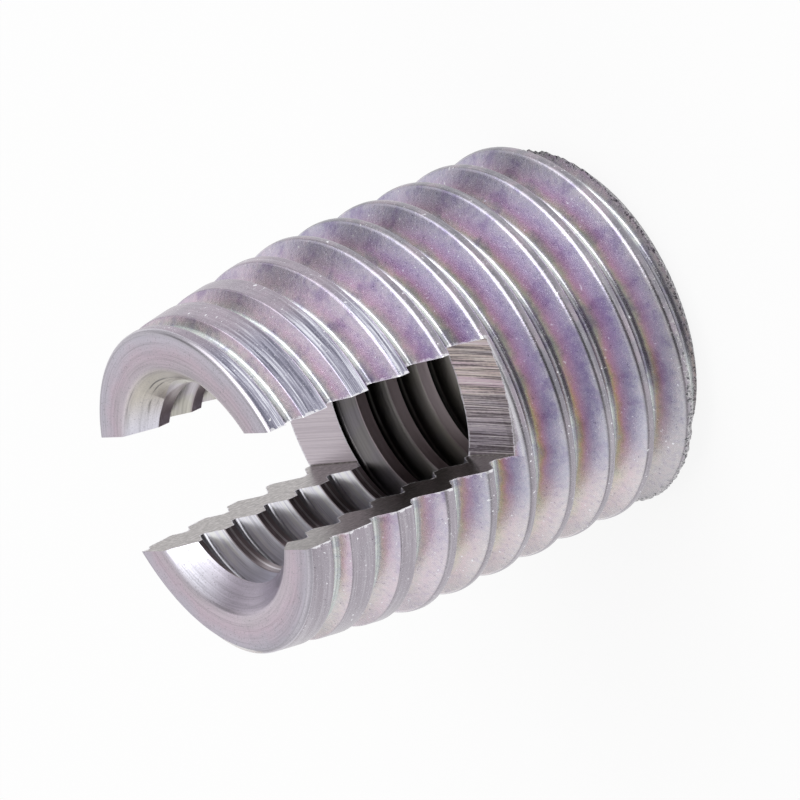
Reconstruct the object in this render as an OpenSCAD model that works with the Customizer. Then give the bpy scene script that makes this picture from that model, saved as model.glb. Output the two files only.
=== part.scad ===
// Self-cutting threaded insert: one turned steel sleeve with a coarse outside thread,
// an inside thread for a machine screw, a tapered nose and a slot milled across the nose.
// Millimetres. The axis is Z, the flat back end is at z = 0, the slotted nose is at the top.
// The slot runs along X.

/* [Overall] */
// Outside diameter over the crests of the outside thread
outer_d = 7.85; // [7:0.05:10]
// Length from the back end to the front of the nose
length = 9.9; // [7.5:0.1:14]

/* [Outside thread] */
// Distance from one turn of the outside thread to the next
pitch = 1; // [0.8:0.05:1.25]
// Width of the flat on each full crest
crest_flat = 0.15; // [0.1:0.01:0.3]
// Width of the flat at the bottom of the thread
root_flat = 0.13; // [0.03:0.01:0.2]
// How far the thread is turned about the axis, in degrees
thread_turn = 270; // [0:2:358]

/* [Tapered nose] */
// How far the front of the nose stands out past the bottom of the thread
nose_step = 0.14; // [0:0.02:0.4]
// How far back the taper runs
nose_l = 3.5; // [2:0.1:5]

/* [Back end] */
// Chamfer on the outer edge of the back end
back_chamfer = 0.6; // [0.1:0.05:0.7]
// Mouth diameter of the small countersink in the back end
back_sink_d = 5; // [4.5:0.1:5.4]

/* [Bore] */
// Core diameter of the inside thread
bore_d = 4.2; // [3.6:0.05:4.4]
// Mouth diameter of the countersink in the nose
front_sink_d = 5.2; // [4.6:0.1:5.6]

/* [Slot] */
// Width of the slot
slot_w = 2.45; // [1.6:0.05:3]
// Depth of the slot on the axis, from the front of the nose
slot_depth = 5.05; // [3:0.05:6]
// Radius of the disc cutter that leaves the slot's hollow floor
slot_cutter_r = 40; // [20:1:80]
// How far the floor of the slot falls toward +X at the axis, along the slot, in degrees
slot_floor_tilt = 2.5; // [0:0.5:6]
// How far the floor of the slot falls toward +Y, across the slot, in degrees
slot_floor_roll = 2.5; // [0:0.5:6]

/* [Hidden] */
$fn = 96;
flank = tan(30);                    // flank slope of a 60 degree thread
outer_r = outer_d / 2;
root_r = outer_r - (pitch - crest_flat - root_flat) / 2 / flank;
nose_r = root_r + nose_step;
bore_r = bore_d / 2;
over = 0.05;                        // how far the groove's section stands out past the crests
cut_r = outer_r + over;
half_top = (pitch - crest_flat) / 2 + over * flank;
half_root = root_flat / 2;
steps = 36;                         // straight pieces in one turn of the groove
turns = ceil(length / pitch) + 2;
slot_long = 2 * outer_d;
clear = 1;                          // how far cutters stand out past the part

// One corner ring of the groove: point k on each of the n + 1 stations along the helix.
function station(i) =
    let (a = i * 360 / steps + thread_turn, z = (i / steps - 1) * pitch)
    [for (c = [[root_r, -half_root], [cut_r, -half_top], [cut_r, half_top], [root_r, half_root]])
        [c[0] * cos(a), c[0] * sin(a), z + c[1]]];

module thread_groove() {
    n = turns * steps;
    pts = [for (i = [0 : n]) each station(i)];
    sides = [for (i = [0 : n - 1]) for (k = [0 : 3])
        let (a = 4 * i + k, b = 4 * i + (k + 1) % 4, c = b + 4, d = a + 4)
        each [[a, b, c], [a, c, d]]];
    ends = [[3, 2, 1], [3, 1, 0], [4 * n, 4 * n + 1, 4 * n + 2], [4 * n, 4 * n + 2, 4 * n + 3]];
    polyhedron(points = pts, faces = concat(sides, ends), convexity = 20);
}

module blank() {
    rotate_extrude()
        polygon([[0, 0], [outer_r - back_chamfer, 0], [outer_r, back_chamfer],
                 [outer_r, length - nose_l], [nose_r, length], [0, length]]);
}

module bore_cut() {
    translate([0, 0, -clear]) cylinder(r = bore_r, h = length + 2 * clear);
    // 90 degree countersinks, carried on past both ends
    front = (front_sink_d - bore_d) / 2;
    translate([0, 0, length - front])
        cylinder(r1 = bore_r, r2 = bore_r + front + clear, h = front + clear);
    back = (back_sink_d - bore_d) / 2;
    translate([0, 0, -clear])
        cylinder(r1 = bore_r + back + clear, r2 = bore_r, h = back + clear);
}

module slot_cut() {
    // a box with upright cheeks, and a disc that leaves a hollow floor, tilted both ways
    intersection() {
        translate([-slot_long / 2, -slot_w / 2, 0])
            cube([slot_long, slot_w, length + clear]);
        translate([0, 0, length - slot_depth]) rotate([-slot_floor_roll, slot_floor_tilt, 0])
            translate([0, 0, slot_cutter_r]) rotate([90, 0, 0])
                cylinder(r = slot_cutter_r, h = 2 * slot_w, center = true, $fn = 360);
    }
}

module insert_body() {
    color([0.72, 0.70, 0.74])
    difference() {
        blank();
        thread_groove();
        bore_cut();
        slot_cut();
    }
}

insert_body();
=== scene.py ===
"""A self-cutting threaded insert that stands on its flat back end, with its slotted nose up.
The scene is in metres. The mesh code and the materials work in millimetres."""

import math

import bpy
import numpy as np
from mathutils import Matrix, Vector


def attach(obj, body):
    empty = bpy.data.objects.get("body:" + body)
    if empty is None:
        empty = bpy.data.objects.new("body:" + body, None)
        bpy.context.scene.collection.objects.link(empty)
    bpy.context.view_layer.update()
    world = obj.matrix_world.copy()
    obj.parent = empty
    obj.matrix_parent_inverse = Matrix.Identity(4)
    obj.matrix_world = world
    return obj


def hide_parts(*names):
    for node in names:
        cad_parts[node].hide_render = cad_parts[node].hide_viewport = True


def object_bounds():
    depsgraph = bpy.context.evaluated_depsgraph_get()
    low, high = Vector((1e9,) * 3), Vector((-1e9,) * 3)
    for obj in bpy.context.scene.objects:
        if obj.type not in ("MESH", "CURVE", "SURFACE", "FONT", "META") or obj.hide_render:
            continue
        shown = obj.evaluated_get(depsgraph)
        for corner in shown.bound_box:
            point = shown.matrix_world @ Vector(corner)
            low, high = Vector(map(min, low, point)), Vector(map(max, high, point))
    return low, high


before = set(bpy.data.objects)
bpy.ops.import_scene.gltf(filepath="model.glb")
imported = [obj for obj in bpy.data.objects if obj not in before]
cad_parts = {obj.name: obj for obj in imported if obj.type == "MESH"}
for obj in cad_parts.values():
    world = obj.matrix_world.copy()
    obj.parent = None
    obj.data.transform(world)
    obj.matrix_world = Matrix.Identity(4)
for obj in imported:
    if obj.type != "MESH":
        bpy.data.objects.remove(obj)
cad_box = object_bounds()

MM = 0.001
TAN30 = math.tan(math.radians(30))

# The overall sizes, from the CAD model's box. These and all the sizes below are in millimetres.
LENGTH = round(cad_box[1].z / MM, 3)
OUTER_R = round(cad_box[1].x / MM, 3)

# The outside thread: its pitch, the widths of the flats on its crests and at its roots, the radius of its
# roots, and the height of a crest's middle on the +X side.
PITCH = 1.0
CREST = 0.15
ROOT_FLAT = 0.13
ROOT_R = OUTER_R - (PITCH - CREST - ROOT_FLAT) / 2 / TAN30
CREST_Z = 0.75
# Its rounding: the radius of the arc in its roots, and the reach of the curves on a crest's back edge and
# on a full crest's front edge. A wider crest on the nose has a sharper front edge, by SHARPEN for each
# millimetre and down to WIDE_SOFT.
ROOT_ROUND = 0.11
BACK_SOFT = 0.04
FRONT_SOFT = 0.085
WIDE_SOFT = 0.03
SHARPEN = 0.3

# The cone of the nose, and its rounded rim, which leaves the cone at RIM_R.
NOSE_STEP = 0.14
NOSE_R = ROOT_R + NOSE_STEP
NOSE_L = 3.5
TAPER = (OUTER_R - NOSE_R) / NOSE_L
RIM_WIDE = 0.11
RIM_LONG = 0.16
RIM_PROUD = 0.004
RIM_R = NOSE_R + RIM_LONG * TAPER + RIM_PROUD

# The chamfer of the back end, and the radius of the flat inside it.
BACK_CHAMFER = 0.6
BACK_R = OUTER_R - BACK_CHAMFER

# The inside thread, from BORE_R out to TAP_R. TAP_Z is the height of a root's middle on the +X side. The
# thread ends TAP_END below the nose's face, and starts to run out TAP_FADE before that.
BORE_R = 2.1
TAP_R = 2.5
TAP_PITCH = 0.8
TAP_FLAT = 0.1
TAP_Z = 0.53
TAP_END = 0.28
TAP_FADE = 0.2
# The radii of the two countersinks' mouths, and the radius inside the bore where both of them end.
FRONT_SINK_R = 2.6
BACK_SINK_R = 2.5
CORE_R = 1.9

# The slot, which runs along X. Its hollow floor falls toward +X by SLOT_TILT and toward +Y by SLOT_ROLL,
# in degrees.
SLOT_W = 2.45
SLOT_DEPTH = 5.05
SLOT_CUTTER_R = 40.0
SLOT_TILT = 2.5
SLOT_ROLL = 2.5
FLOOR_Z = LENGTH - SLOT_DEPTH

# How far the cutters stand out past the insert.
CLEAR = 1.0


def direction(azimuth, elevation):
    """The unit vector at an azimuth from +X and an elevation, in degrees."""
    a, e = math.radians(azimuth), math.radians(elevation)
    return math.cos(e) * math.cos(a), math.cos(e) * math.sin(a), math.sin(e)


# ---------------------------------------------------------------- mesh code
def new_object(name, verts, faces):
    mesh = bpy.data.meshes.new(name)
    mesh.from_pydata(verts, [], faces)
    mesh.update()
    obj = bpy.data.objects.new(name, mesh)
    bpy.context.scene.collection.objects.link(obj)
    return obj


def stations(corners):
    """Stacks corners, each a pair of arrays of z and r, into one array of (stations, corners, 2)."""
    return np.stack([np.stack(corner, axis=-1) for corner in corners], axis=1)


def bend_corners(points, reach, steps):
    """Rounds the corners of one polyline per station. points is (stations, corners, 2). reach gives, for
    each corner, how far its curve runs along the sides that meet there. Two curves that would overlap on a
    side share it between them."""
    out = []
    for k, far in enumerate(reach):
        here = points[:, k]
        if not np.any(far):
            out.append(here)
            continue
        ends = []
        for other in (k - 1, k + 1):
            side = points[:, other] - here
            length = np.linalg.norm(side, axis=1)
            room = 0.98 * length * far / (far + reach[other] + 1e-9)
            ends.append(here + side * (np.minimum(far, room) / length)[:, None])
        a, c = ends
        for t in np.linspace(0, 1, steps + 1):
            out.append((1 - t) ** 2 * a + 2 * t * (1 - t) * here + t**2 * c)
    return np.stack(out, axis=1)


def helix_mesh(name, ridge_z, pitch, per_turn, section):
    """A closed rod with a helical thread, longer than the insert at both ends. ridge_z is the height of a
    ridge's middle on the +X side. section(height of the ridge's middle, fade) gives the z and r of one
    pitch, from root middle to root middle. fade takes the ridge down to nothing in the half turn at each
    end of the rod."""
    turns = math.ceil(LENGTH / pitch) + 5
    last = turns * per_turn
    t = np.arange(last + per_turn + 1) / per_turn
    fade = np.clip(np.minimum(t, turns - t) * 2, 0, 1)
    first_z = ridge_z - 3 * pitch
    profile = section(first_z + t * pitch, fade)
    cols = profile.shape[1] - 1
    angle = (2 * math.pi * t)[:, None]
    z, r = profile[..., 0], profile[..., 1]
    xyz = np.stack([r * np.cos(angle), r * np.sin(angle), z], axis=-1)

    # A turn's last column is the first column of the next turn, and one more turn of that column alone
    # follows the last turn. Two points on the axis close the ends.
    full = (last + 1) * cols
    low, high = full + per_turn, full + per_turn + 1
    index = np.full((last + per_turn + 1, cols + 1), -1)
    index[: last + 1, :cols] = np.arange(full).reshape(last + 1, cols)
    index[last + 1 :, 0] = full + np.arange(per_turn)
    index[: last + 1, cols] = index[per_turn:, 0]
    tips = np.array([[0, 0, z.min() - CLEAR], [0, 0, z.max() + CLEAR]])
    verts = np.concatenate([xyz[: last + 1, :cols].reshape(-1, 3), xyz[last + 1 :, 0], tips])

    a, b = index[:last, :-1], index[1 : last + 1, :-1]
    c, d = index[1 : last + 1, 1:], index[:last, 1:]
    faces = np.stack([a, b, c, d], axis=-1).reshape(-1, 4).tolist()
    for k in range(per_turn):
        faces.append([low, index[k + 1, 0], index[k, 0]])
        faces.append([high, index[last + k, 0], index[last + k + 1, 0]])
    for j in range(cols):
        faces.append([low, index[0, j], index[0, j + 1]])
        faces.append([high, index[last, j + 1], index[last, j]])
    return new_object(name, verts.tolist(), faces)


def outside_section(ridge_z, fade):
    """The outside thread's ridge. Its crest ends on the cylinder, or on the nose's cone, and the bottom of
    the groove is an arc that both flanks run into."""
    slope, half = TAN30, CREST / 2
    cone = slope * (OUTER_R - NOSE_R - TAPER * LENGTH)
    back = np.minimum(ridge_z - half, (ridge_z - half - cone) / (1 + slope * TAPER))
    front = np.maximum(ridge_z + half, (ridge_z + half + cone) / (1 - slope * TAPER))
    # beyond the nose's face the crests stop widening, so that neighbours don't meet
    widest = 0.42
    back = np.maximum(back, ridge_z - widest)
    front = np.minimum(front, ridge_z + widest)

    bottom = np.full_like(ridge_z, OUTER_R - (PITCH - CREST) / 2 / slope + ROOT_ROUND)
    back_r = bottom + (OUTER_R - (ridge_z - half - back) / slope - bottom) * fade
    front_r = bottom + (OUTER_R - (front - ridge_z - half) / slope - bottom) * fade
    angles = np.radians([0, 15, 30, 45, 60])
    arc = [(ROOT_ROUND * math.sin(a), ROOT_ROUND * (1 - math.cos(a))) for a in angles]
    low, high = ridge_z - PITCH / 2, ridge_z + PITCH / 2
    corners = [(low + dz, bottom + dr * fade) for dz, dr in arc]
    corners += [(back, back_r), (front, front_r)]
    corners += [(high - dz, bottom + dr * fade) for dz, dr in reversed(arc)]
    soft = np.clip(FRONT_SOFT - SHARPEN * (front - back - CREST), WIDE_SOFT, FRONT_SOFT)
    as_is = [0.0] * len(arc)
    return bend_corners(stations(corners), as_is + [BACK_SOFT, soft] + as_is, steps=6)


def tap_section(ridge_z, fade):
    """The ridge of the tap that cuts the inside thread. It runs out in the nose's countersink."""
    half, wide = TAP_FLAT / 2, TAP_PITCH / 2
    foot = half + (TAP_R - BORE_R) * TAN30
    base = np.full_like(ridge_z, BORE_R)
    top = base + (TAP_R - BORE_R) * fade * np.clip((LENGTH - TAP_END - ridge_z) / TAP_FADE, 0, 1)
    corners = [
        (ridge_z - wide, base),
        (ridge_z - foot, base),
        (ridge_z - half, top),
        (ridge_z + half, top),
        (ridge_z + foot, base),
        (ridge_z + wide, base),
    ]
    soft = 0.05
    return bend_corners(stations(corners), [0.0, 0.0, soft, soft, 0.0, 0.0], steps=3)


def turned(name, outline, sides, torn):
    """The outline, a closed line of (r, z) points, turned about Z. torn gives, for the points where the
    metal is torn, how far their rings wander."""
    angle = np.arange(sides) * 2 * math.pi / sides
    rings = np.repeat(np.array(outline)[None], sides, axis=0)
    rng = np.random.default_rng(7)
    for ring, far in torn.items():
        rings[:, ring] += rng.normal(0, far, (sides, 2))
    r, z = rings[..., 0], rings[..., 1]
    xyz = np.stack([r * np.cos(angle)[:, None], r * np.sin(angle)[:, None], z], axis=-1)
    k = len(outline)
    faces = []
    for i in range(sides):
        j = (i + 1) % sides
        for p in range(k):
            q = (p + 1) % k
            faces.append([i * k + p, j * k + p, j * k + q, i * k + q])
    return new_object(name, xyz.reshape(-1, 3).tolist(), faces)


def turned_blank():
    """The blank that the threaded rod is trimmed to: a tube with a torn chamfer at the back end, both
    countersinks, and the rounded rim of the nose. Its outside stands clear of the crests, because the
    rod's own crests end on the cylinder and the cone."""
    far = 4.4
    chamfer = [(OUTER_R - BACK_CHAMFER * s, BACK_CHAMFER * (1 - s)) for s in (1, 0.67, 0.33, 0)]
    quarter = np.radians([0, 20, 40, 55, 70, 80, 90])
    rim = [(RIM_R - RIM_WIDE * (1 - math.cos(a)), LENGTH - RIM_LONG * (1 - math.sin(a))) for a in quarter]
    mouth = [(FRONT_SINK_R + dr, LENGTH - dz) for dr, dz in ((0.06, 0.0), (0.0, 0.018), (-0.05, 0.055))]
    outline = [
        *chamfer,
        (far, far - BACK_R),
        (far, LENGTH - RIM_LONG),
        *rim,
        *mouth,
        (CORE_R, LENGTH - (FRONT_SINK_R - CORE_R)),
        (CORE_R, BACK_SINK_R - CORE_R),
        (BACK_SINK_R, 0.0),
    ]
    # all the chamfer's points are torn but the first, which is on the flat back
    return turned("blank", outline, sides=360, torn={1: 0.018, 2: 0.024, 3: 0.024})


def slot_floor(x, y):
    """The height of the slot's floor."""
    fall_x, fall_y = math.tan(math.radians(SLOT_TILT)), math.tan(math.radians(SLOT_ROLL))
    hollow = SLOT_CUTTER_R - math.sqrt(SLOT_CUTTER_R**2 - x**2)
    return FLOOR_Z - fall_x * x - fall_y * y + hollow


def slot_cutter():
    """A bar with upright cheeks above the slot's floor."""
    half, top, steps = SLOT_W / 2, LENGTH + CLEAR, 32
    verts, faces = [], []
    for x in np.linspace(-OUTER_R - CLEAR, OUTER_R + CLEAR, steps + 1):
        verts += [(x, -half, slot_floor(x, -half)), (x, half, slot_floor(x, half))]
        verts += [(x, half, top), (x, -half, top)]
    for i in range(steps):
        for k in range(4):
            a, b = 4 * i + k, 4 * i + (k + 1) % 4
            faces.append([a, b, b + 4, a + 4])
    last = 4 * steps
    faces += [[3, 2, 1, 0], [last, last + 1, last + 2, last + 3]]
    return new_object("slot_cutter", verts, faces)


def cut(obj, other, how):
    """Adds a boolean modifier. The faces that other leaves keep its material."""
    mod = obj.modifiers.new(how.lower(), "BOOLEAN")
    mod.operation = how
    mod.object = other
    mod.solver = "MANIFOLD"
    mod.material_mode = "TRANSFER"


# ---------------------------------------------------------------- node code
class Nodes:
    """Short calls for the nodes of a material or a world."""

    def __init__(self, owner):
        owner.use_nodes = True
        self.owner = owner
        self.tree = owner.node_tree

    def add(self, kind, **values):
        node = self.tree.nodes.new("ShaderNode" + kind)
        for key, value in values.items():
            setattr(node, key, value)
        return node

    def put(self, socket, value):
        """Links the socket to another socket, or sets it to a number, a vector or a colour."""
        if isinstance(value, bpy.types.NodeSocket):
            self.tree.links.new(value, socket)
        elif isinstance(value, tuple) and len(socket.default_value) == 4:
            socket.default_value = (*value, 1)
        else:
            socket.default_value = value

    def math(self, how, *values):
        node = self.add("Math", operation=how)
        for socket, value in zip(node.inputs, values):
            self.put(socket, value)
        return node.outputs[0]

    def sum(self, first, *rest):
        for value in rest:
            first = self.math("ADD", first, value)
        return first

    def minus(self, a, b):
        return self.math("SUBTRACT", a, b)

    def times(self, a, b):
        return self.math("MULTIPLY", a, b)

    def linear(self, value, slope, start):
        """slope times value, plus start."""
        return self.math("MULTIPLY_ADD", value, slope, start)

    def abs(self, value):
        return self.math("ABSOLUTE", value)

    def step(self, value, low, high):
        """0 at low, 1 at high, smooth between them. low may be the larger."""
        node = self.add("MapRange", interpolation_type="SMOOTHSTEP")
        self.put(node.inputs["Value"], value)
        self.put(node.inputs["From Min"], low)
        self.put(node.inputs["From Max"], high)
        return node.outputs["Result"]

    def around_zero(self, noise, reach):
        """A 0 to 1 noise spread to -reach to reach."""
        return self.linear(noise, 2 * reach, -reach)

    def ramp(self, value, *stops):
        """Each stop is a place and a colour, or a grey level."""
        node = self.add("ValToRGB")
        elements = node.color_ramp.elements
        while len(elements) < len(stops):
            elements.new(0.5)
        for stop, (at, colour) in zip(elements, stops):
            stop.position = at
            stop.color = (*colour, 1) if isinstance(colour, tuple) else (colour, colour, colour, 1)
        self.put(node.inputs[0], value)
        return node.outputs["Color"]

    def mix(self, share, a, b, how="MIX"):
        node = self.add("Mix", data_type="RGBA", blend_type=how)
        self.put(node.inputs[0], share)
        self.put(node.inputs[6], a)
        self.put(node.inputs[7], b)
        return node.outputs[2]

    def tint(self, colour, by, share=1.0):
        """The colour multiplied by another, or by a grey level."""
        return self.mix(share, colour, by, "MULTIPLY")

    def vector(self, x, y, z):
        node = self.add("CombineXYZ")
        for socket, value in zip(node.inputs, (x, y, z)):
            self.put(socket, value)
        return node.outputs[0]

    def noise(self, vector, scale, detail, rough=0.5):
        node = self.add("TexNoise")
        self.put(node.inputs["Vector"], vector)
        self.put(node.inputs["Scale"], scale)
        self.put(node.inputs["Detail"], detail)
        self.put(node.inputs["Roughness"], rough)
        return node.outputs["Fac"]


class Metal(Nodes):
    """A metal material. mm is the point in millimetres, x, y and z are its parts, r is its distance from
    the axis, turn is its angle about Z in turns, and cos and sin are that angle's."""

    def __init__(self, name):
        super().__init__(bpy.data.materials.new(name))
        scaled = self.add("VectorMath", operation="SCALE")
        self.put(scaled.inputs[0], self.add("TexCoord").outputs["Object"])
        self.put(scaled.inputs["Scale"], 1 / MM)
        self.mm = scaled.outputs[0]
        split = self.add("SeparateXYZ")
        self.put(split.inputs[0], self.mm)
        self.x, self.y, self.z = split.outputs
        self.r = self.math("SQRT", self.linear(self.x, self.x, self.times(self.y, self.y)))
        self.turn = self.math("DIVIDE", self.math("ARCTAN2", self.y, self.x), 2 * math.pi)
        self.cos = self.math("DIVIDE", self.x, self.r)
        self.sin = self.math("DIVIDE", self.y, self.r)

    def phase(self, ridge_z, pitch):
        """Distance from the nearest ridge's middle, along the axis, positive toward the nose."""
        along = self.math("DIVIDE", self.minus(self.z, ridge_z), pitch)
        whole = self.math("FRACT", self.sum(along, self.times(self.turn, -1.0), 0.5))
        return self.times(self.minus(whole, 0.5), pitch)

    def lines(self, across, fine, bend, rough=0.6):
        """Noise in long lines round the axis. fine is how many there are to the millimetre across them,
        and bend how fast they change along their length."""
        x = self.times(self.cos, bend)
        y = self.linear(self.z, 0.9 * bend, self.times(self.sin, bend))
        return self.noise(self.vector(x, y, self.times(across, fine)), 1.0, 3, rough)

    def finish(self, colour, rough, height, depth):
        """height is in units of depth, which is in millimetres."""
        shader = self.tree.nodes["Principled BSDF"]
        self.put(shader.inputs["Base Color"], colour)
        self.put(shader.inputs["Roughness"], rough)
        self.put(shader.inputs["Metallic"], 1.0)
        bump = self.add("Bump")
        self.put(bump.inputs["Strength"], 1.0)
        self.put(bump.inputs["Distance"], depth * MM)
        self.put(bump.inputs["Height"], height)
        self.put(shader.inputs["Normal"], bump.outputs["Normal"])
        return self.owner


# ---------------------------------------------------------------- where a point is on the insert
def cone_radius(n):
    """The radius of the cylinder and the nose's cone at a point's height."""
    return n.math("MINIMUM", n.linear(n.z, -TAPER, NOSE_R + TAPER * LENGTH), OUTER_R)


def past_crest(n, phase):
    """How far a point is past the edge of the nearest crest, along the axis."""
    return n.minus(n.abs(phase), n.linear(cone_radius(n), -TAN30, OUTER_R * TAN30 + CREST / 2))


def outside_radius(n):
    """The radius of the outside thread at a point's height and angle."""
    flank = n.linear(n.abs(n.phase(CREST_Z, PITCH)), -1 / TAN30, OUTER_R + CREST / 2 / TAN30)
    return n.math("MAXIMUM", n.math("MINIMUM", cone_radius(n), flank), ROOT_R)


def inside_radius(n):
    """The radius of the inside thread at a point's height and angle."""
    flank = n.linear(n.abs(n.phase(TAP_Z, TAP_PITCH)), -1 / TAN30, TAP_R + TAP_FLAT / 2 / TAN30)
    return n.math("MAXIMUM", n.math("MINIMUM", flank, TAP_R), BORE_R)


def burr_highlight_line(n, away, ragged):
    """A ragged bright line along an edge, where away is the distance from it and ragged is a noise: a burr
    with a painted edge highlight.
    """
    narrow, wide = 0.012, 0.072
    reach = n.linear(n.step(ragged, 0.40, 0.62), wide - narrow, narrow)
    return n.step(n.math("DIVIDE", away, reach), 1.0, 0.6)


# ---------------------------------------------------------------- materials
def flank_colour(n, nose, drift, patch):
    """The plating below the crests. Its tint follows the height above the root: straw, then rose and
    violet, then blue-grey."""
    height = n.minus(n.r, ROOT_R)
    level = n.sum(height, n.around_zero(drift, 0.15), n.around_zero(patch, 0.04))
    usual = n.ramp(
        level,
        (0.03, (0.56, 0.58, 0.54)),
        (0.09, (0.55, 0.57, 0.49)),
        (0.14, (0.60, 0.54, 0.52)),
        (0.21, (0.61, 0.465, 0.565)),
        (0.36, (0.565, 0.49, 0.63)),
        (0.50, (0.55, 0.52, 0.65)),
        (0.62, (0.58, 0.565, 0.67)),
    )
    strong = n.ramp(
        level,
        (0.03, (0.66, 0.70, 0.62)),
        (0.08, (0.62, 0.60, 0.40)),
        (0.14, (0.64, 0.49, 0.43)),
        (0.21, (0.60, 0.45, 0.54)),
        (0.34, (0.50, 0.47, 0.58)),
        (0.48, (0.54, 0.53, 0.63)),
        (0.62, (0.62, 0.62, 0.69)),
    )
    pale = n.ramp(
        level,
        (0.05, (0.66, 0.68, 0.60)),
        (0.18, (0.70, 0.67, 0.58)),
        (0.34, (0.74, 0.64, 0.66)),
        (0.60, (0.74, 0.70, 0.71)),
    )
    # strong toward -Y and pale at the far -Y side, pinker on the nose and grey at the back end
    colour = n.mix(n.step(n.y, 0.4, -1.0), usual, strong)
    colour = n.mix(n.times(n.step(n.y, -1.9, -2.9), 0.9), colour, pale)
    colour = n.mix(n.times(nose, 0.5), colour, (0.74, 0.67, 0.75))
    colour = n.mix(n.times(n.step(n.z, 1.3, 0.8), 0.7), colour, (0.53, 0.52, 0.54))
    # the root is painted light on both sides as a painted highlight, and painted dark in a band between
    # them as painted shade
    root_highlight = n.math("MAXIMUM", n.step(n.y, 0.8, 2.0), n.times(n.step(n.y, -0.6, -1.4), 0.85))
    root = n.mix(root_highlight, (0.34, 0.34, 0.37), (0.70, 0.75, 0.73))
    colour = n.mix(n.step(height, 0.070, 0.045), colour, root)
    patches = n.ramp(patch, (0.36, (0.88, 0.85, 0.95)), (0.50, 1.0), (0.64, (1.08, 1.0, 1.03)))
    colour = n.tint(colour, patches, 0.6)
    clouds = n.ramp(drift, (0.36, (0.76, 0.72, 0.84)), (0.48, 1.0), (0.64, (1.06, 1.03, 1.03)))
    return n.tint(colour, clouds, n.step(n.y, -2.4, -1.0))


def crest_colour(n, nose, drift, streak, lined_and_highlit):
    """The turned crests: smooth and grey, pinker on the nose, with tool lines by lined, whose lightest
    streaks are painted highlights.
    """
    smooth = n.ramp(
        drift,
        (0.40, (0.26, 0.25, 0.28)),
        (0.50, (0.32, 0.30, 0.33)),
        (0.60, (0.40, 0.345, 0.39)),
    )
    smooth = n.mix(n.times(nose, 0.6), smooth, (0.47, 0.39, 0.46))
    smooth = n.mix(n.times(n.step(n.y, -0.4, -1.6), 0.8), smooth, (0.41, 0.375, 0.41))
    # the lines' lightest stop is near white: painted highlights on the tool lines
    lines = n.ramp(
        streak,
        (0.38, (0.19, 0.19, 0.25)),
        (0.48, (0.36, 0.35, 0.44)),
        (0.55, (0.50, 0.50, 0.60)),
        (0.62, (0.90, 0.91, 1.0)),
    )
    return n.mix(lined_and_highlit, smooth, lines)


def thread_wear(n, colour, drift, patch, grain):
    """Grain, painted glints and pits all over, the torn metal next to the back chamfer, and the slot's
    burr with its painted edge highlight.
    """
    colour = n.tint(colour, n.linear(grain, 0.26, 0.87))
    # near-white specks painted as glints of light on the plating
    sparkle_glints = n.times(n.step(n.noise(n.mm, 15, 0), 0.77, 0.82), n.step(drift, 0.48, 0.55))
    glints = n.times(n.step(grain, 0.66, 0.74), 0.5)
    colour = n.mix(n.math("MAXIMUM", sparkle_glints, glints), colour, (0.95, 0.95, 1.0))
    pits = n.times(n.step(n.sum(grain, n.times(patch, 0.6)), 0.56, 0.48), 0.8)
    colour = n.mix(pits, colour, (0.12, 0.11, 0.13))

    chips = n.noise(n.mm, 18, 2, 0.7)
    broken = n.ramp(
        chips,
        (0.40, (0.06, 0.06, 0.07)),
        (0.48, (0.40, 0.40, 0.41)),
        (0.60, (0.62, 0.60, 0.62)),
    )
    past_chamfer = n.sum(n.minus(n.z, n.r), BACK_R, n.around_zero(patch, 0.25))
    colour = n.mix(n.times(n.step(past_chamfer, 0.11, 0.06), 0.9), colour, broken)

    # the slot's burr on the outside thread, painted as an edge highlight
    burr_highlight = burr_highlight_line(n, n.minus(n.abs(n.y), SLOT_W / 2), patch)
    above_floor = n.step(n.z, FLOOR_Z - 0.1, FLOOR_Z)
    return n.mix(n.times(n.times(burr_highlight, above_floor), 0.85), colour, (0.95, 0.94, 0.98))


def thread_material():
    """The outside: plated flanks and turned crests."""
    n = Metal("plated_thread")
    phase = n.phase(CREST_Z, PITCH)
    drift = n.noise(n.mm, 1.7, 3, 0.6)
    patch = n.noise(n.mm, 8, 2, 0.6)
    grain = n.noise(n.mm, 34, 1, 0.6)
    streak = n.lines(phase, 18, 1.6, 0.7)
    nose = n.step(n.z, LENGTH - 4.2, LENGTH - 3.4)
    crest = n.step(past_crest(n, phase), 0.012, -0.012)
    # on the nose, the band toward +Y gets full tool lines with their painted highlights; elsewhere the
    # lines are faint
    highlit_band = n.times(n.step(n.y, 3.3, 2.6), n.step(n.y, 0.3, 1.0))
    lined_and_highlit = n.linear(n.times(highlit_band, nose), 0.85, 0.15)
    top = crest_colour(n, nose, drift, streak, lined_and_highlit)
    colour = n.mix(crest, flank_colour(n, nose, drift, patch), top)
    colour = thread_wear(n, colour, drift, patch, grain)
    tool_lines = n.times(n.times(streak, crest), n.times(lined_and_highlit, 4.0))
    bumps = n.sum(n.times(grain, 1.2), tool_lines, n.times(patch, 2.5))
    return n.finish(colour, n.linear(grain, 0.10, 0.22), bumps, 0.0016)


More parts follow.
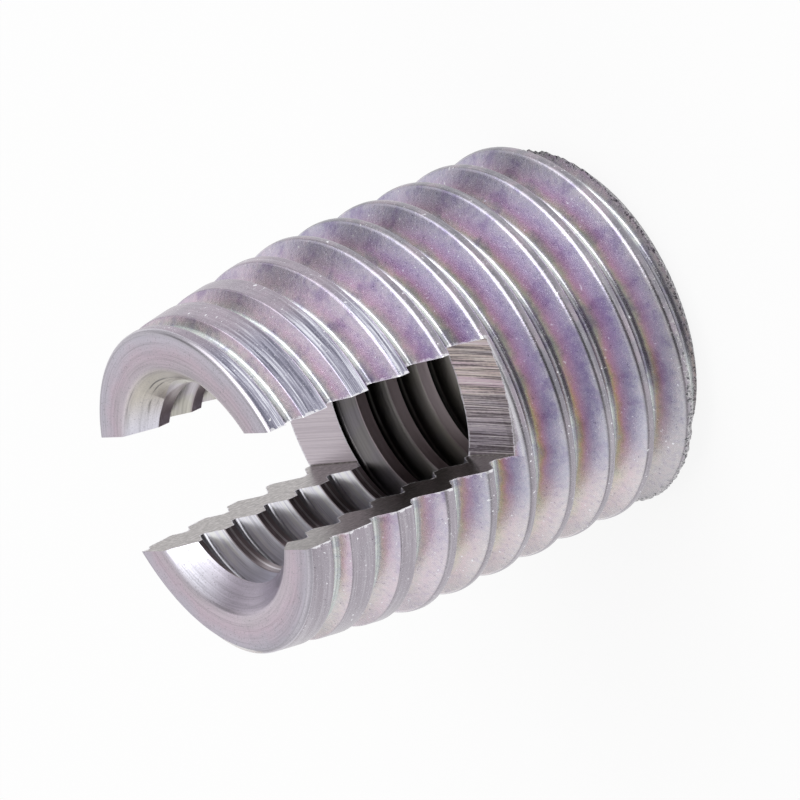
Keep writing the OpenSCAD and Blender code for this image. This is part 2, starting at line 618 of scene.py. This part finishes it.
def end_material():
    """The turned ends: the nose's face and its countersink, and the back end with its torn chamfer."""
    n = Metal("turned_end")
    rings = n.lines(n.r, 14, 1.0)
    fine = n.lines(n.r, 50, 2.0)
    drift = n.noise(n.mm, 1.6, 3)
    grain = n.noise(n.mm, 26, 2, 0.7)
    chips = n.noise(n.mm, 15, 3, 0.8)

    toward_y = n.step(n.y, 1.2, 2.1)
    # the countersink is painted light toward -X as a painted highlight, over its lilac-grey
    sink_with_highlight = n.mix(n.step(n.x, -1.8, -0.5), (0.76, 0.745, 0.83), (0.51, 0.455, 0.54))
    sink_with_highlight = n.mix(toward_y, sink_with_highlight, (0.57, 0.53, 0.48))
    sink_with_highlight = n.mix(n.times(toward_y, n.step(rings, 0.42, 0.36)), sink_with_highlight, (0.20, 0.19, 0.18))
    face = n.ramp(
        n.step(n.sum(n.r, n.around_zero(drift, 0.35)), 2.5, 3.5),
        (0.00, (0.67, 0.60, 0.66)),
        (0.40, (0.72, 0.60, 0.69)),
        (1.00, (0.66, 0.63, 0.72)),
    )
    colour = n.mix(n.step(n.r, FRONT_SINK_R - 0.1, FRONT_SINK_R + 0.1), sink_with_highlight, face)
    colour = n.mix(n.step(n.r, NOSE_R - 0.13, NOSE_R - 0.06), colour, (0.56, 0.53, 0.59))

    marks = n.sum(n.times(rings, 0.45), n.times(fine, 0.55))
    colour = n.tint(colour, n.ramp(marks, (0.38, 0.82), (0.50, 1.0), (0.60, 1.07)))
    colour = n.tint(colour, n.linear(n.noise(n.mm, 40, 1, 0.6), 0.32, 0.84))
    colour = n.mix(n.times(n.step(grain, 0.44, 0.26), 0.7), colour, (0.30, 0.29, 0.32))

    chamfer = n.times(n.step(n.z, 0.95, 0.85), n.step(n.r, BACK_R - 0.175, BACK_R - 0.025))
    colour = n.mix(chamfer, colour, (0.33, 0.30, 0.32))
    torn = n.times(chamfer, n.step(n.sum(n.z, n.around_zero(chips, 0.5)), 0.40, 0.28))
    broken = n.ramp(
        chips,
        (0.42, (0.03, 0.03, 0.04)),
        (0.50, (0.22, 0.21, 0.23)),
        (0.60, (0.62, 0.60, 0.62)),
    )
    colour = n.mix(n.times(torn, 0.95), colour, broken)
    return n.finish(colour, 0.28, n.sum(marks, n.times(n.times(chips, torn), 10.0)), 0.004)


def bore_material():
    """The inside thread, with brownish lands. Below the slot, where the bore is closed, its grooves are
    painted dark as painted shade, but for the flank that faces the nose. In the -Y jaw they are painted
    light toward -X and dark toward +X as painted light and shade, and the lands have a bright line."""
    n = Metal("cut_thread")
    phase = n.phase(TAP_Z, TAP_PITCH)
    lines = n.lines(phase, 34, 1.0)
    cloud = n.noise(n.mm, 2.0, 2)
    closed = n.step(n.linear(n.x, 0.07, n.z), FLOOR_Z + 0.25, FLOOR_Z + 0.05)
    jaw = n.times(n.step(n.y, -0.8, -1.1), n.minus(1.0, closed))

    colour = n.ramp(cloud, (0.40, (0.57, 0.55, 0.50)), (0.60, (0.60, 0.56, 0.60)))
    # in the -Y jaw the thread is painted light toward -X and dark toward +X: painted light and shade
    jaw_light_and_shade = n.mix(n.step(n.x, -1.7, 0.3), (0.93, 0.92, 1.0), (0.42, 0.41, 0.49))
    colour = n.mix(jaw, colour, jaw_light_and_shade)
    # the roots in the -Y jaw are painted dark: painted shade in the bottom of the groove
    root = n.step(n.r, TAP_R - 0.07, TAP_R - 0.02)
    colour = n.mix(n.times(jaw, root), colour, (0.35, 0.35, 0.38))
    colour = n.tint(colour, n.ramp(lines, (0.36, 0.78), (0.50, 1.0), (0.64, 1.12)))

    # below the slot, where the bore is closed, it is painted dark as painted shade, darkest just below the
    # floor
    near_floor = n.step(n.z, FLOOR_Z - 1.3, FLOOR_Z - 0.3)
    closed_shade = n.mix(near_floor, (0.42, 0.40, 0.37), (0.13, 0.12, 0.135))
    colour = n.mix(n.times(closed, 0.8), colour, closed_shade)
    # there its roots and the flanks that face away from the nose are painted almost black: painted shade
    dark = n.times(n.step(n.r, BORE_R + 0.01, BORE_R + 0.20), n.step(phase, -0.15, 0.02))
    colour = n.mix(n.times(dark, n.times(closed, 0.96)), colour, (0.02, 0.02, 0.02))
    land = n.step(n.r, BORE_R + 0.03, BORE_R + 0.01)
    colour = n.mix(n.times(land, 0.85), colour, (0.36, 0.30, 0.32))
    # a bright line along the lands in the -Y jaw
    land_line = n.step(n.abs(phase), 0.365, 0.385)
    colour = n.mix(n.times(n.times(land, jaw), land_line), colour, (0.85, 0.82, 0.86))
    return n.finish(colour, 0.30, lines, 0.003)


def slot_material():
    """The milled slot: marks along the floor, with painted shade in their grooves and painted highlights
    on their ridges, which are stronger toward +X, and darker mottled cheeks with a burr along their edges,
    painted as an edge highlight."""
    n = Metal("milled_slot")
    across = n.linear(n.x, 0.033, n.y)
    fine = n.noise(n.vector(n.times(n.x, 0.22), n.times(across, 36), 0.0), 1.0, 2, 0.6)
    bands = n.noise(n.vector(n.times(n.x, 0.2), n.times(across, 4), 4.0), 1.0, 2, 0.5)
    breaks = n.noise(n.vector(n.times(n.x, 6), n.times(across, 30), 7.0), 1.0, 1, 0.5)
    marks = n.sum(n.times(fine, 0.88), n.times(breaks, 0.12))
    mottle = n.noise(n.mm, 9, 3, 0.7)

    toward_x = n.step(n.x, -1.5, 1.5)
    warm = n.ramp(
        bands,
        (0.38, (0.62, 0.56, 0.59)),
        (0.48, (0.72, 0.61, 0.56)),
        (0.60, (0.78, 0.62, 0.69)),
    )
    near = n.mix(n.step(n.y, 0.4, -0.8), warm, (0.62, 0.56, 0.62))
    floor = n.mix(toward_x, (0.74, 0.66, 0.72), near)
    # the marks' grooves are painted dark: painted shade
    mark_shade = n.times(n.step(marks, 0.52, 0.43), n.linear(toward_x, 0.75, 0.15))
    floor = n.mix(mark_shade, floor, (0.15, 0.125, 0.135))
    # the marks' ridges are painted near white: painted highlights
    mark_highlight = n.times(n.step(marks, 0.57, 0.64), n.linear(toward_x, 0.6, 0.2))
    floor = n.mix(mark_highlight, floor, (0.98, 0.93, 0.90))

    cheek = n.ramp(
        mottle,
        (0.32, (0.19, 0.17, 0.17)),
        (0.50, (0.35, 0.32, 0.315)),
        (0.66, (0.52, 0.485, 0.485)),
    )
    # burrs along the cheeks' outer and inner edges, painted as edge highlights
    outer_burr_highlight = burr_highlight_line(n, n.minus(outside_radius(n), n.r), mottle)
    inner_burr_highlight = burr_highlight_line(n, n.minus(n.r, inside_radius(n)), mottle)
    burr_highlight = n.math("MAXIMUM", outer_burr_highlight, inner_burr_highlight)
    on_cheek = n.step(n.abs(n.y), SLOT_W / 2 - 0.03, SLOT_W / 2 - 0.01)
    colour = n.mix(on_cheek, floor, cheek)
    colour = n.mix(n.times(burr_highlight, 0.85), colour, (0.92, 0.90, 0.95))
    bumps = n.mix(on_cheek, marks, n.times(mottle, 0.5))
    return n.finish(colour, n.linear(burr_highlight, 0.35, 0.32), bumps, 0.006)


# ---------------------------------------------------------------- the insert
def build_insert():
    """The threaded rod, trimmed to the turned blank, tapped and slotted. Each cut leaves its own
    material."""
    rod = helix_mesh("insert_sleeve", CREST_Z, PITCH, per_turn=180, section=outside_section)
    tap = helix_mesh("tap", TAP_Z, TAP_PITCH, per_turn=144, section=tap_section)
    rod.data.materials.append(thread_material())
    cuts = (
        (turned_blank(), end_material(), "INTERSECT"),
        (tap, bore_material(), "DIFFERENCE"),
        (slot_cutter(), slot_material(), "DIFFERENCE"),
    )
    for other, material, how in cuts:
        other.data.materials.append(material)
        cut(rod, other, how)
    bpy.context.view_layer.update()
    graph = bpy.context.evaluated_depsgraph_get()
    mesh = bpy.data.meshes.new_from_object(rod.evaluated_get(graph))
    rod.modifiers.clear()
    rod.data = mesh
    for other, _, _ in cuts:
        bpy.data.objects.remove(other)
    mesh.transform(Matrix.Scale(MM, 4))
    mesh.shade_smooth()
    mesh.set_sharp_from_angle(angle=math.radians(34))
    rod.modifiers.new("flat_flanks", "WEIGHTED_NORMAL").keep_sharp = True
    return rod


insert = build_insert()
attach(insert, "root")
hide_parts("insert_body")


# ---------------------------------------------------------------- the stage
def seen_white(n, lit, share):
    """A shader that camera, mirror and glass rays see as white light in this share, and the other rays as
    lit."""
    path = n.add("LightPath").outputs
    seen = n.math("MAXIMUM", path["Is Camera Ray"], path["Is Glossy Ray"])
    seen = n.math("MAXIMUM", seen, path["Is Transmission Ray"])
    white = n.add("Emission")
    n.put(white.inputs["Strength"], 1.0)
    mix = n.add("MixShader")
    n.put(mix.inputs[0], n.times(seen, share))
    n.put(mix.inputs[1], lit)
    n.put(mix.inputs[2], white.outputs[0])
    return mix.outputs[0]


def build_floor():
    """A floor 6 m wide."""
    half = 3.0
    corners = [(-half, -half, 0), (half, -half, 0), (half, half, 0), (-half, half, 0)]
    floor = new_object("floor", corners, [[0, 1, 2, 3]])
    n = Nodes(bpy.data.materials.new("pale_floor"))
    shader = n.tree.nodes["Principled BSDF"]
    n.put(shader.inputs["Base Color"], (0.9, 0.9, 0.9))
    n.put(shader.inputs["Roughness"], 0.9)
    n.put(shader.inputs["Specular IOR Level"], 0.0)
    n.put(n.tree.nodes["Material Output"].inputs["Surface"], seen_white(n, shader.outputs[0], 0.88))
    floor.data.materials.append(n.owner)


# The studio: an even level of light all round, and soft regions that are brighter or darker than it. Each
# has its azimuth from +X, elevation and half-width in degrees, and how much brighter it is in its middle.
EVEN_LIGHT = 0.62
REGIONS = (
    (52, 40, 32, 2.7),
    (92, 24, 26, 1.4),
    (-12, 18, 42, -0.44),
    (150, 38, 17, -0.45),
    (120, 68, 24, 0.15),
    (168, 24, 24, 0.30),
    (244, 40, 40, 0.30),
)


def build_world():
    """The background's strength is worked out for each direction."""
    world = bpy.data.worlds.new("studio")
    n = Nodes(world)
    toward = n.add("TexCoord").outputs["Generated"]
    level = EVEN_LIGHT
    for azimuth, elevation, width, gain in REGIONS:
        near = n.add("VectorMath", operation="DOT_PRODUCT")
        n.put(near.inputs[0], toward)
        n.put(near.inputs[1], direction(azimuth, elevation))
        edge, core = math.cos(math.radians(width)), math.cos(math.radians(width * 0.35))
        level = n.sum(level, n.times(n.step(near.outputs["Value"], edge, core), gain))
    back = n.tree.nodes["Background"]
    n.put(back.inputs["Color"], (1, 1, 1))
    n.put(back.inputs["Strength"], level)
    bpy.context.scene.world = world


def build_camera():
    """A long lens aimed at the middle of the insert, and rolled so that the insert lies across the
    picture. The angles are in degrees, the distance and the aim in millimetres."""
    azimuth, elevation, roll = 12.025, 30.044, -114.94
    distance = 210.9
    aim = Vector((0, 0.024, LENGTH / 2 - 0.021))
    data = bpy.data.cameras.new("camera")
    data.lens = 475.2
    data.sensor_width = 36
    data.clip_start = 0.01
    data.clip_end = 50
    cam = bpy.data.objects.new("camera", data)
    swing = Matrix.Rotation(math.radians(azimuth + 90), 4, "Z")
    tilt = Matrix.Rotation(math.radians(90 - elevation), 4, "X")
    spin = Matrix.Rotation(math.radians(roll), 4, "Z")
    place = (aim + distance * Vector(direction(azimuth, elevation))) * MM
    cam.matrix_world = Matrix.Translation(place) @ swing @ tilt @ spin
    bpy.context.scene.collection.objects.link(cam)
    bpy.context.scene.camera = cam


build_floor()
build_world()
build_camera()
bpy.context.scene.view_settings.view_transform = "Standard"
